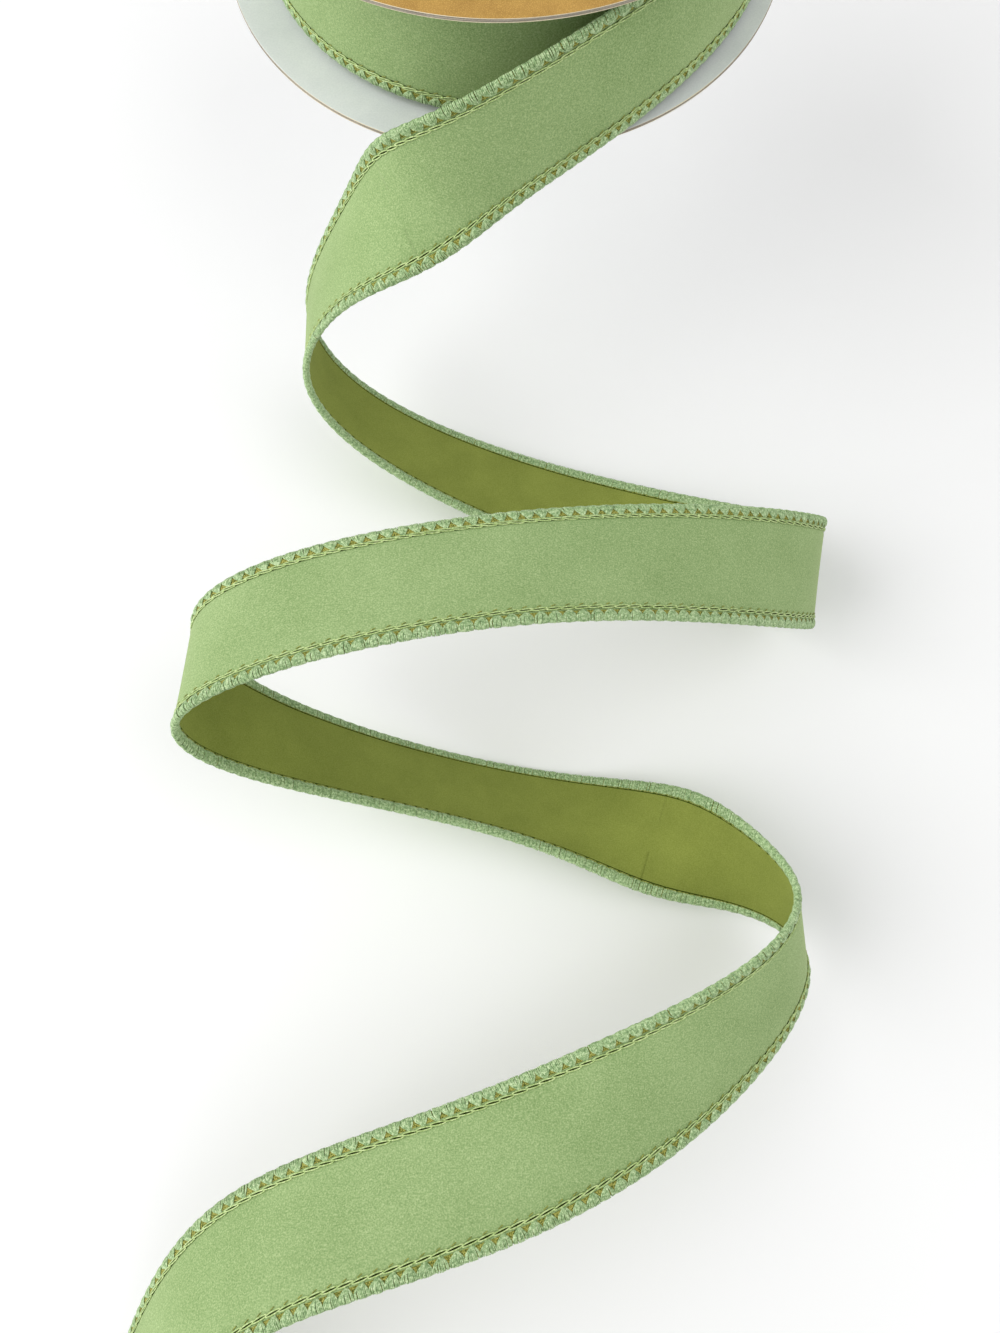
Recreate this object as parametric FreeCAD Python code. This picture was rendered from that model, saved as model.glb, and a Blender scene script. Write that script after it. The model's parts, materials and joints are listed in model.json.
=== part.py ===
import FreeCAD, Part
import math
import os

# Spool of wired velvet ribbon, millimetres, +Z up.
# The origin is on the spool's axis, at the underside of the lower flange.

# Spool
FLANGE_RADIUS = 88.9
PAPER_THICKNESS = 0.2
BOARD_THICKNESS = 0.8
FLANGE_GAP = 43.0
SPINDLE_HOLE_RADIUS = 16.0
CORE_OUTER_RADIUS = 38.0
CORE_WALL = 2.5
TAPE_THICKNESS = 0.2
TAPE_HEIGHT = 24.0
TAPE_SPAN_DEGREES = 40.0

# Ribbon: the width is from edge to edge, over the stitched borders
RIBBON_WIDTH = 38.0
STITCHING_WIDTH = 4.2
STITCHING_WALL = 0.35
STITCHING_LIP_WALL = 0.2
STITCHING_SHOULDER = 0.9
VELVET_THICKNESS = 0.7
BACKING_THICKNESS = 0.4
LAYER_CLEARANCE = 0.05
WIRE_RADIUS = 0.25
WIRE_CLEARANCE = 0.05
WIRE_SECTION_SIDES = 8
WIRE_FROM_EDGE = 1.4

# Wound pack and the loosened outer turn
PACK_SETTLING = 2.2
OUTER_TURN_RADIUS = 75.0
TURN_RUNNING_CLEARANCE = 0.1
LOOSE_TURN_RADIUS = 82.0
TURN_START_DEGREES = 308.0
TURN_START_LIFT = 2.5
START_LIES_DOWN_DEGREES = 200.0
LOOSENING_STARTS_DEGREES = 95.0
LEAVING_DEGREES = -22.0

# The tail is cut into links that hinge on one another
HINGE_GAP = 1.0
STATION_SPACING = 5.0

CLOTH_THICKNESS = VELVET_THICKNESS + LAYER_CLEARANCE + BACKING_THICKNESS
CLOTH_MIDDLE = (VELVET_THICKNESS + LAYER_CLEARANCE - BACKING_THICKNESS) / 2
WIRE_ALONG_WIDTH = RIBBON_WIDTH / 2 - WIRE_FROM_EDGE
STITCHING_THICKNESS = CLOTH_THICKNESS + 2 * (LAYER_CLEARANCE + STITCHING_WALL)

FLANGE_THICKNESS = BOARD_THICKNESS + 2 * PAPER_THICKNESS
UPPER_FLANGE_Z = FLANGE_THICKNESS + FLANGE_GAP
PACK_MID_Z = FLANGE_THICKNESS + FLANGE_GAP / 2
PACK_INNER_RADIUS = CORE_OUTER_RADIUS + TAPE_THICKNESS + LAYER_CLEARANCE

UP = FreeCAD.Vector(0, 0, 1)
REARWARD = FreeCAD.Vector(0, 1, 0)

# The curl of the tail: the ribbon's middle line and the flare of its rear edge.
# The curl runs forward (-Y) and down from the spool, and passes through these places in turn.
# Flare is how far the rear edge tips outward from the curl's own axis, in degrees.
CURL = [
    # x, y, z, flare
    (45, -71, 23, 86),        # over the lower flange, still on edge
    (-7, -99, 9, 82),         # just past the rim, starting to turn over
    (-53, -99, -32, 6),       # turned over, dropping towards the left
    (-70, -105, -65, 2),      # first bend on the left
    (20, -145, -120, 7),      # first run under the curl
    (107, -181, -99, -1),     # first bend on the right
    (5, -212, -21, -13),      # second run over the curl
    (-94, -237, -41, -4),     # second bend on the left
    (-6, -260, -112, 38),     # second run under the curl
    (91, -304, -88, -20),     # second bend on the right
    (0, -369, -58, -6),       # third run over the curl
    (-76, -398, -65, -19),    # third bend on the left
    (-122, -460, -109, -22),  # the cut end
]
PLACES_ON_FIRST_LINK = 3


def polar(radius, degrees, z):
    angle = math.radians(degrees)
    return FreeCAD.Vector(radius * math.cos(angle), radius * math.sin(angle), z)


def across(direction, tangent):
    """The unit vector nearest to direction that stands square to tangent."""
    square = direction - tangent * direction.dot(tangent)
    return square.normalize()


def smooth_step(share):
    return share * share * (3 - 2 * share)


# ---------------------------------------------------------------- the ribbon's path

def bends_at(params, values, start_slope):
    """Second derivatives of the cubic spline with a set first slope and a free far end."""
    count = len(values)
    steps = [params[i + 1] - params[i] for i in range(count - 1)]
    slopes = [(values[i + 1] - values[i]) * (1 / steps[i]) for i in range(count - 1)]
    diagonal = [2 * steps[0]]
    right = [(slopes[0] - start_slope) * 6]
    for i in range(1, count - 1):
        share = steps[i - 1] / diagonal[i - 1]
        diagonal.append(2 * (steps[i - 1] + steps[i]) - share * steps[i - 1])
        right.append((slopes[i] - slopes[i - 1]) * 6 - right[i - 1] * share)
    bends = [FreeCAD.Vector(0, 0, 0)]
    for i in range(count - 2, -1, -1):
        bends.insert(0, (right[i] - bends[0] * steps[i]) * (1 / diagonal[i]))
    return bends


class Spline:
    """A smooth curve through given vectors at given parameters."""

    def __init__(self, params, values, start_slope):
        self.params = params
        self.values = values
        self.bends = bends_at(params, values, start_slope)

    def at(self, param):
        """The value and the slope at a parameter."""
        i = 0
        while i < len(self.params) - 2 and param > self.params[i + 1]:
            i += 1
        step = self.params[i + 1] - self.params[i]
        b = (param - self.params[i]) / step
        a = 1 - b
        value = self.values[i] * a + self.values[i + 1] * b
        value += self.bends[i] * ((a ** 3 - a) * step ** 2 / 6)
        value += self.bends[i + 1] * ((b ** 3 - b) * step ** 2 / 6)
        slope = (self.values[i + 1] - self.values[i]) * (1 / step)
        slope += self.bends[i] * (-(3 * a ** 2 - 1) * step / 6)
        slope += self.bends[i + 1] * ((3 * b ** 2 - 1) * step / 6)
        return value, slope


class Station:
    """One cross-section of the ribbon: its middle, its direction of travel and its width direction."""

    def __init__(self, middle, tangent, width):
        self.middle = middle
        self.tangent = tangent
        self.width = width
        self.outward = width.cross(tangent)

    def point(self, along_width, outward):
        return self.middle + self.width * along_width + self.outward * outward


def tail_curve():
    """The middle line, the width direction and the parameter of each place along the tail."""
    leaving = polar(LOOSE_TURN_RADIUS, LEAVING_DEGREES, PACK_MID_Z)
    start_slope = polar(1, LEAVING_DEGREES - 90, 0)
    places = [leaving] + [FreeCAD.Vector(x, y, z) for x, y, z, flare in CURL]
    flares = [90] + [flare for x, y, z, flare in CURL]
    params = [0.0]
    for before, after in zip(places, places[1:]):
        params.append(params[-1] + before.distanceToPoint(after))
    middle = Spline(params, places, start_slope)
    widths = []
    for param, flare in zip(params, flares):
        tangent = middle.at(param)[1].normalize()
        rear = across(REARWARD, tangent)
        out = rear.cross(tangent)
        angle = math.radians(flare)
        widths.append(rear * math.cos(angle) + out * math.sin(angle))
    return middle, Spline(params, widths, FreeCAD.Vector(0, 0, 0)), params


MIDDLE, WIDTH, PLACE_PARAMS = tail_curve()


def tail_station(param):
    middle, slope = MIDDLE.at(param)
    tangent = slope.normalize()
    return Station(middle, tangent, across(WIDTH.at(param)[0], tangent))


def tail_stations(start, end):
    count = max(4, round((end - start) / STATION_SPACING))
    return [tail_station(start + (end - start) * i / count) for i in range(count + 1)]


def outer_turn_stations():
    """The last turn on the pack, from its hidden start to where it begins to leave the spool."""
    stations = []
    turned = math.radians(TURN_START_DEGREES - LEAVING_DEGREES)
    count = round(turned * OUTER_TURN_RADIUS / STATION_SPACING)
    for i in range(count):
        degrees = TURN_START_DEGREES + (LEAVING_DEGREES - TURN_START_DEGREES) * i / count
        lifting = (degrees - START_LIES_DOWN_DEGREES) / (TURN_START_DEGREES - START_LIES_DOWN_DEGREES)
        loosening = (LOOSENING_STARTS_DEGREES - degrees) / (LOOSENING_STARTS_DEGREES - LEAVING_DEGREES)
        radius = OUTER_TURN_RADIUS
        radius += TURN_START_LIFT * smooth_step(max(0.0, lifting))
        radius += (LOOSE_TURN_RADIUS - OUTER_TURN_RADIUS) * smooth_step(max(0.0, loosening))
        tangent = polar(1, degrees - 90, 0)
        stations.append(Station(polar(radius, degrees, PACK_MID_Z), tangent, UP))
    return stations


def link_stations():
    """The cross-sections of every link, from the spool to the cut end."""
    joints = PLACE_PARAMS[PLACES_ON_FIRST_LINK:]
    first = outer_turn_stations() + tail_stations(0.0, joints[0] - HINGE_GAP / 2)
    links = [first]
    for start, end in zip(joints, joints[1:]):
        is_last = end == joints[-1]
        trimmed_end = end if is_last else end - HINGE_GAP / 2
        links.append(tail_stations(start + HINGE_GAP / 2, trimmed_end))
    return links


# ---------------------------------------------------------------- solids along the path

def checked_solid(shape):
    solid = shape.Solids[0]
    if solid.Volume < 0:
        solid = solid.reversed()
    return solid


def along_ribbon(stations, corners):
    """A solid whose outline keeps its place in the ribbon's cross-section.

    A corner is a distance along the width from the middle line, and a distance outward.
    """
    outlines = []
    for station in stations:
        loop = [station.point(along_width, outward) for along_width, outward in corners]
        outlines.append(Part.makePolygon(loop + loop[:1]))
    return checked_solid(Part.makeLoft(outlines, True, True))


def layer(stations, inner, outer):
    """One layer of cloth, reaching into both stitched borders as far as the wires."""
    half_width = WIRE_ALONG_WIDTH - WIRE_RADIUS - WIRE_CLEARANCE
    corners = [(-half_width, inner), (half_width, inner), (half_width, outer), (-half_width, outer)]
    return along_ribbon(stations, corners)


def velvet_layer(stations):
    return layer(stations, LAYER_CLEARANCE, LAYER_CLEARANCE + VELVET_THICKNESS)


def backing_layer(stations):
    return layer(stations, -BACKING_THICKNESS, 0.0)


def stitched_border(stations, side):
    """The thread that wraps one edge: a sleeve open towards the cloth, holding the wire and both layers."""
    lip = RIBBON_WIDTH / 2 - STITCHING_WIDTH
    rim = RIBBON_WIDTH / 2
    slot_end = WIRE_ALONG_WIDTH + WIRE_RADIUS + WIRE_CLEARANCE
    slot = CLOTH_THICKNESS / 2 + LAYER_CLEARANCE
    wall = slot + STITCHING_WALL
    half_section = [
        (slot_end, slot),
        (lip, slot),
        (lip, slot + STITCHING_LIP_WALL),
        (lip + STITCHING_SHOULDER, wall),
        (rim - STITCHING_SHOULDER, wall),
        (rim - STITCHING_SHOULDER / 4, wall / 2),
    ]
    mirrored = [(along_width, -outward) for along_width, outward in reversed(half_section)]
    corners = [(side * along_width, CLOTH_MIDDLE + outward) for along_width, outward in half_section + mirrored]
    return along_ribbon(stations, corners)


def stitched_borders(stations):
    return Part.makeCompound([stitched_border(stations, -1), stitched_border(stations, 1)])


def edge_wire(stations, side):
    """A wire, with its round section drawn as a regular polygon."""
    corners = []
    for corner in range(WIRE_SECTION_SIDES):
        angle = 2 * math.pi * corner / WIRE_SECTION_SIDES
        along_width = side * WIRE_ALONG_WIDTH + WIRE_RADIUS * math.cos(angle)
        corners.append((along_width, CLOTH_MIDDLE + WIRE_RADIUS * math.sin(angle)))
    return along_ribbon(stations, corners)


def edge_wires(stations):
    return Part.makeCompound([edge_wire(stations, -1), edge_wire(stations, 1)])


# ---------------------------------------------------------------- spool and wound pack

def ring(inner_radius, outer_radius, z, height):
    outer = Part.makeCylinder(outer_radius, height, FreeCAD.Vector(0, 0, z))
    inner = Part.makeCylinder(inner_radius, height, FreeCAD.Vector(0, 0, z))
    return outer.cut(inner)


def flange_layer(z, thickness):
    return ring(SPINDLE_HOLE_RADIUS, FLANGE_RADIUS, z, thickness)


def inner_end_tape():
    """The tape that holds the ribbon's inner end to the core."""
    band = ring(CORE_OUTER_RADIUS, CORE_OUTER_RADIUS + TAPE_THICKNESS, PACK_MID_Z - TAPE_HEIGHT / 2, TAPE_HEIGHT)
    wedge = Part.makeCylinder(FLANGE_RADIUS, UPPER_FLANGE_Z, FreeCAD.Vector(0, 0, 0), UP, TAPE_SPAN_DEGREES)
    return band.common(wedge)


def spool_nodes():
    core = ring(CORE_OUTER_RADIUS - CORE_WALL, CORE_OUTER_RADIUS, FLANGE_THICKNESS, FLANGE_GAP)
    return {
        "lower_flange_facing": flange_layer(0, PAPER_THICKNESS),
        "lower_flange_board": flange_layer(PAPER_THICKNESS, BOARD_THICKNESS),
        "lower_flange_liner": flange_layer(PAPER_THICKNESS + BOARD_THICKNESS, PAPER_THICKNESS),
        "upper_flange_liner": flange_layer(UPPER_FLANGE_Z, PAPER_THICKNESS),
        "upper_flange_board": flange_layer(UPPER_FLANGE_Z + PAPER_THICKNESS, BOARD_THICKNESS),
        "upper_flange_facing": flange_layer(UPPER_FLANGE_Z + PAPER_THICKNESS + BOARD_THICKNESS, PAPER_THICKNESS),
        "core_tube": core,
        "inner_end_tape": inner_end_tape(),
    }


def pack_nodes():
    """The wound turns under the loose outer one, each layer of them as one ring.

    They have slid down from the middle of the gap, so they sit a little lower than the outer turn.
    """
    pack_radius = OUTER_TURN_RADIUS + CLOTH_MIDDLE - STITCHING_THICKNESS / 2 - TURN_RUNNING_CLEARANCE
    border_low = PACK_MID_Z - PACK_SETTLING - RIBBON_WIDTH / 2
    border_high = border_low + RIBBON_WIDTH - STITCHING_WIDTH
    velvet_height = RIBBON_WIDTH - 2 * STITCHING_WIDTH
    velvet_radius = pack_radius - (STITCHING_THICKNESS - CLOTH_THICKNESS) / 2
    return {
        "wound_velvet": ring(PACK_INNER_RADIUS, velvet_radius, border_low + STITCHING_WIDTH, velvet_height),
        "wound_lower_stitching": ring(PACK_INNER_RADIUS, pack_radius, border_low, STITCHING_WIDTH),
        "wound_upper_stitching": ring(PACK_INNER_RADIUS, pack_radius, border_high, STITCHING_WIDTH),
    }


def tail_nodes():
    nodes = {}
    for number, stations in enumerate(link_stations(), start=1):
        nodes[f"tail_{number:02d}_velvet"] = velvet_layer(stations)
        nodes[f"tail_{number:02d}_backing"] = backing_layer(stations)
        nodes[f"tail_{number:02d}_stitching"] = stitched_borders(stations)
        nodes[f"tail_{number:02d}_wires"] = edge_wires(stations)
    return nodes


def main():
    os.makedirs("parts", exist_ok=True)
    nodes = {}
    nodes.update(spool_nodes())
    nodes.update(pack_nodes())
    nodes.update(tail_nodes())
    for name, shape in nodes.items():
        if not shape.isValid():
            raise ValueError(f"{name} is not a valid solid")
        shape.exportStep(f"parts/{name}.step")
    for number, param in enumerate(PLACE_PARAMS[PLACES_ON_FIRST_LINK:-1], start=2):
        station = tail_station(param)
        at = station.middle
        axis = station.width
        print(f"tail_{number:02d} hinge at ({at.x:.3f}, {at.y:.3f}, {at.z:.3f}) mm "
              f"about ({axis.x:.6f}, {axis.y:.6f}, {axis.z:.6f})")
    print(f"{len(nodes)} nodes written")


main()
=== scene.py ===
import json
import math

import bpy
import numpy as np
from mathutils import Matrix, Vector, noise


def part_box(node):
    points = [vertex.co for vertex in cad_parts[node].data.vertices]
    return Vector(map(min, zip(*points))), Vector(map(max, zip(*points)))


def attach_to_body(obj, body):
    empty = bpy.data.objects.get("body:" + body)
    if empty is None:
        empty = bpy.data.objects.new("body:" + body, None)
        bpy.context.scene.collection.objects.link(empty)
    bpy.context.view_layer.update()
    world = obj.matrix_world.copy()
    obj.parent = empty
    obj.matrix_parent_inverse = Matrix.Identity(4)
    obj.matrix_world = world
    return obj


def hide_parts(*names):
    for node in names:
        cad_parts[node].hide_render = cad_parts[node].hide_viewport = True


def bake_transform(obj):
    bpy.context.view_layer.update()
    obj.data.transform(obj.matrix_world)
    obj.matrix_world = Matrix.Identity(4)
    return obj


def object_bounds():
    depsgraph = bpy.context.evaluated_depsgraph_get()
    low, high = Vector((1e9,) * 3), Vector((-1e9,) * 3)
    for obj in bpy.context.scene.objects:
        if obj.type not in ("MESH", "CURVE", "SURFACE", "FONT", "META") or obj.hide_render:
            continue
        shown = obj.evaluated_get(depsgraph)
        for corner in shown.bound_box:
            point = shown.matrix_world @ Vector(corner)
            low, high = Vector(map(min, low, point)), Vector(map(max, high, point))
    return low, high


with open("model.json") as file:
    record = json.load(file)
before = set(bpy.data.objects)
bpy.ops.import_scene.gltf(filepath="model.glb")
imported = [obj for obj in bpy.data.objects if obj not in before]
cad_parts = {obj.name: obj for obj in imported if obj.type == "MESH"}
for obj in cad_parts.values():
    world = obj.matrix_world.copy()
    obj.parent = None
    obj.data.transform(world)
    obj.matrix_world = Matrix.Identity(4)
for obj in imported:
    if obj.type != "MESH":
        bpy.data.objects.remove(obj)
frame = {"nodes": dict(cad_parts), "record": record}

# A cardboard spool of wired velvet ribbon. Every length is in metres.
MM = 0.001
cad_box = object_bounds()
joints = {joint["name"]: joint for joint in frame["record"]["behaviour"]["joints"]}

# The ribbon's path, on the CAD's own dimensions
LOOSE_TURN_RADIUS = 82.0 * MM
OUTER_TURN_RADIUS = 75.0 * MM
TURN_START_DEGREES = 308.0
TURN_START_LIFT = 2.5 * MM
START_LIES_DOWN_DEGREES = 200.0
LOOSENING_STARTS_DEGREES = 95.0
LEAVING_DEGREES = -22.0
OVER_FLANGE = (45 * MM, -71 * MM, 23 * MM)
OVER_FLANGE_FLARE_DEGREES = 86.0
PAST_RIM = (-7 * MM, -99 * MM, 9 * MM)
PAST_RIM_FLARE_DEGREES = 82.0
CUT_END = (-122 * MM, -460 * MM, -109 * MM)
CUT_END_FLARE_DEGREES = -22.0
LAST_LINK = 11
PATH_STEP = 0.25 * MM

# The ribbon's cross-section: along the width from the middle line, and outward on the velvet side
VELVET_TOP = 0.75 * MM
VELVET_UNDERSIDE = 0.04 * MM
BACKING_UNDERSIDE = -0.4 * MM
CLOTH_MIDDLE = 0.175 * MM
WIRE_ALONG_WIDTH = 17.6 * MM
WIRE_RADIUS = 0.25 * MM

# The stitched borders
STITCH_PITCH = 4.1 * MM
FILAMENTS_PER_STITCH = 9
BEAD_CENTRE = 17.15 * MM
BEAD_HALF_WIDTH = 1.75 * MM
BEAD_HALF_THICKNESS = 0.9 * MM
FAN_PINCH = 15.3 * MM
FAN_FULL = 17.5 * MM
FAN_PINCH_SHARE = 0.24
FILAMENT_RADIUS = 0.25 * MM
CHAIN_LINE = 15.0 * MM

# How far ahead of the first hinge the first section that spans a hinge starts
FIRST_BEND_LEAD = 30 * MM

rng = np.random.default_rng(7)


def polar(radius, degrees, z):
    angle = math.radians(degrees)
    return np.array([radius * math.cos(angle), radius * math.sin(angle), z])


def unit(vectors):
    return vectors / np.linalg.norm(vectors, axis=-1, keepdims=True)


def across(direction, tangent):
    """The unit vectors nearest to direction that stand square to tangent."""
    square = direction - tangent * np.sum(direction * tangent, axis=-1, keepdims=True)
    return unit(square)


def smooth_step(share):
    share = np.clip(share, 0, 1)
    return share * share * (3 - 2 * share)


# ---------------------------------------------------------------- the ribbon's path

def spline(knots, values, start_slope):
    """A cubic through values at knots, with a set first slope and a free far end."""
    count = len(knots)
    gap = np.diff(knots)
    steps = np.diff(values, axis=0) / gap[:, None]
    matrix = np.zeros((count, count))
    right = np.zeros((count, 3))
    matrix[0, :2] = 2 * gap[0], gap[0]
    right[0] = 6 * (steps[0] - start_slope)
    for i in range(1, count - 1):
        matrix[i, i - 1:i + 2] = gap[i - 1], 2 * (gap[i - 1] + gap[i]), gap[i]
        right[i] = 6 * (steps[i] - steps[i - 1])
    matrix[-1, -1] = 1
    bends = np.linalg.solve(matrix, right)

    def at(params):
        i = np.clip(np.searchsorted(knots, params, side="right") - 1, 0, count - 2)
        h = gap[i][:, None]
        b = ((params - knots[i]) / gap[i])[:, None]
        a = 1 - b
        value = a * values[i] + b * values[i + 1]
        value = value + ((a ** 3 - a) * bends[i] + (b ** 3 - b) * bends[i + 1]) * h ** 2 / 6
        slope = steps[i] + ((3 * b ** 2 - 1) * bends[i + 1] - (3 * a ** 2 - 1) * bends[i]) * h / 6
        return value, slope

    return at


def flared(tangent, degrees):
    """The width direction whose rear edge tips outward from the curl's own axis by this angle."""
    rear = across(np.array([0.0, 1.0, 0.0]), tangent)
    out = np.cross(rear, tangent)
    return rear * math.cos(math.radians(degrees)) + out * math.sin(math.radians(degrees))


def tail_curve():
    """The tail's middle line and width direction, through the hinges that the frame states."""
    hinges = [joints[f"tail_bend_{link:02d}"] for link in range(2, LAST_LINK + 1)]
    pack_middle = joints["unwinding_turn"]["pos_m"][2]
    leaving = polar(LOOSE_TURN_RADIUS, LEAVING_DEGREES, pack_middle)
    places = [leaving, OVER_FLANGE, PAST_RIM] + [hinge["pos_m"] for hinge in hinges] + [CUT_END]
    places = np.array(places)
    chords = np.linalg.norm(np.diff(places, axis=0), axis=1)
    knots = np.concatenate([[0], np.cumsum(chords)])
    middle = spline(knots, places, polar(1, LEAVING_DEGREES - 90, 0))
    tangents = unit(middle(knots)[1])
    widths = [np.array([0.0, 0.0, 1.0])]
    widths += [flared(tangents[1], OVER_FLANGE_FLARE_DEGREES), flared(tangents[2], PAST_RIM_FLARE_DEGREES)]
    widths += [np.array(hinge["axis"]) for hinge in hinges]
    widths += [flared(tangents[-1], CUT_END_FLARE_DEGREES)]
    return knots, middle, spline(knots, np.array(widths), np.zeros(3))


def outer_turn():
    """The last turn on the pack, from its hidden start to where it begins to leave the spool."""
    turned = math.radians(TURN_START_DEGREES - LEAVING_DEGREES) * OUTER_TURN_RADIUS
    degrees = np.linspace(TURN_START_DEGREES, LEAVING_DEGREES, int(turned / PATH_STEP))[:-1]
    lifting = (degrees - START_LIES_DOWN_DEGREES) / (TURN_START_DEGREES - START_LIES_DOWN_DEGREES)
    loosening = (LOOSENING_STARTS_DEGREES - degrees) / (LOOSENING_STARTS_DEGREES - LEAVING_DEGREES)
    radius = OUTER_TURN_RADIUS + TURN_START_LIFT * smooth_step(lifting)
    radius += (LOOSE_TURN_RADIUS - OUTER_TURN_RADIUS) * smooth_step(loosening)
    angle = np.radians(degrees)
    height = np.full_like(angle, joints["unwinding_turn"]["pos_m"][2])
    points = np.stack([radius * np.cos(angle), radius * np.sin(angle), height], axis=1)
    tangents = np.stack([np.sin(angle), -np.cos(angle), np.zeros_like(angle)], axis=1)
    widths = np.tile([0.0, 0.0, 1.0], (len(angle), 1))
    return points, tangents, widths


class Path:
    """The whole loose ribbon by its length in metres, from the hidden start of the outer turn to the cut."""

    def __init__(self):
        knots, middle, width = tail_curve()
        params = np.linspace(0, knots[-1], int(knots[-1] / PATH_STEP))
        turn_points, turn_tangents, turn_widths = outer_turn()
        tail_points, slopes = middle(params)
        tail_tangents = unit(slopes)
        tail_widths = across(width(params)[0], tail_tangents)
        self.points = np.concatenate([turn_points, tail_points])
        self.tangents = np.concatenate([turn_tangents, tail_tangents])
        self.widths = np.concatenate([turn_widths, tail_widths])
        run = np.linalg.norm(np.diff(self.points, axis=0), axis=1)
        self.lengths = np.concatenate([[0], np.cumsum(run)])
        self.end = self.lengths[-1]
        tail_lengths = self.lengths[len(turn_points):]
        self.hinge_lengths = {}
        for link in range(2, LAST_LINK + 1):
            self.hinge_lengths[link] = float(np.interp(knots[link + 1], params, tail_lengths))

    def frame_at(self, lengths):
        """Middle, direction of travel, width direction and outward direction at these lengths."""
        shape = np.shape(lengths)
        flat = np.ravel(lengths)

        def read(table):
            columns = [np.interp(flat, self.lengths, table[:, i]) for i in range(3)]
            return np.stack(columns, axis=1).reshape(shape + (3,))

        tangents = unit(read(self.tangents))
        widths = across(read(self.widths), tangents)
        return read(self.points), tangents, widths, np.cross(widths, tangents)

    def place(self, lengths, along_width, outward):
        """Points of the ribbon from length, distance along the width and distance outward."""
        points, tangents, widths, out = self.frame_at(lengths)
        return points + widths * along_width[..., None] + out * outward[..., None]


path = Path()


# ---------------------------------------------------------------- meshes

SHARP_DEGREES = 80.0


def make_mesh(name, vertices, faces, materials, face_slots=None):
    """A mesh whose long faces are smooth and whose many-sided end caps are flat."""
    mesh = bpy.data.meshes.new(name)
    mesh.from_pydata(vertices.tolist(), [], faces)
    for material in materials:
        mesh.materials.append(material)
    if face_slots is not None:
        mesh.polygons.foreach_set("material_index", np.asarray(face_slots, dtype=np.int32))
    mesh.polygons.foreach_set("use_smooth", np.array([len(face) <= 4 for face in faces]))
    mesh.update()
    mesh.set_sharp_from_angle(angle=math.radians(SHARP_DEGREES))
    piece = bpy.data.objects.new(name, mesh)
    bpy.context.scene.collection.objects.link(piece)
    return piece


def grid_faces(rows, columns, closed_columns=False, closed_rows=False, start=0):
    """Four-sided faces over a grid of vertices numbered row by row."""
    row_pairs = rows if closed_rows else rows - 1
    column_pairs = columns if closed_columns else columns - 1
    r, c = np.meshgrid(np.arange(row_pairs), np.arange(column_pairs), indexing="ij")
    next_row = (r + 1) % rows
    next_column = (c + 1) % columns
    this_row = [r * columns + c, r * columns + next_column]
    row_after = [next_row * columns + c, next_row * columns + next_column]
    corners = [this_row[0], row_after[0], row_after[1], this_row[1]]
    return (np.stack(corners, axis=-1).reshape(-1, 4) + start).tolist()


def tube_along(rings, start=0):
    """Faces of a closed tube: rings is an array of rows by corners by 3, with a cap on each end."""
    rows, corners = rings.shape[:2]
    faces = grid_faces(rows, corners, closed_columns=True, start=start)
    faces.append([start + corner for corner in range(corners)])
    faces.append([start + (rows - 1) * corners + corner for corner in reversed(range(corners))])
    return faces


def strands(paths, references, wide, thick, sides):
    """Many tapered threads at once.

    paths is threads by points by 3. The section's wide radius lies along the reference direction.
    """
    ahead = unit(np.gradient(paths, axis=1))
    across_thread = across(references, ahead)
    up_thread = np.cross(ahead, across_thread)
    angles = 2 * math.pi * np.arange(sides) / sides
    ring = across_thread[:, :, None, :] * (wide[..., None, None] * np.cos(angles)[None, None, :, None])
    ring = ring + up_thread[:, :, None, :] * (thick[..., None, None] * np.sin(angles)[None, None, :, None])
    vertices = paths[:, :, None, :] + ring
    count, points = paths.shape[:2]
    one = np.array(grid_faces(points, sides, closed_columns=True))
    offsets = (np.arange(count) * points * sides)[:, None, None]
    quads = (one[None] + offsets).reshape(-1, 4).tolist()
    first_cap = np.arange(sides)
    last_cap = (points - 1) * sides + np.arange(sides)[::-1]
    caps = np.concatenate([first_cap[None], last_cap[None]])
    caps = (caps[None] + offsets).reshape(-1, sides).tolist()
    return vertices.reshape(-1, 3), quads + caps


def joined(parts):
    """One list of vertices and faces, and a material number for every face, from several parts."""
    vertices = []
    faces = []
    slots = []
    start = 0
    for part_vertices, part_faces, slot in parts:
        vertices.append(part_vertices)
        faces += [[corner + start for corner in face] for face in part_faces]
        slots += [slot] * len(part_faces)
        start += len(part_vertices)
    return np.concatenate(vertices), faces, slots


# ---------------------------------------------------------------- materials

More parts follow.
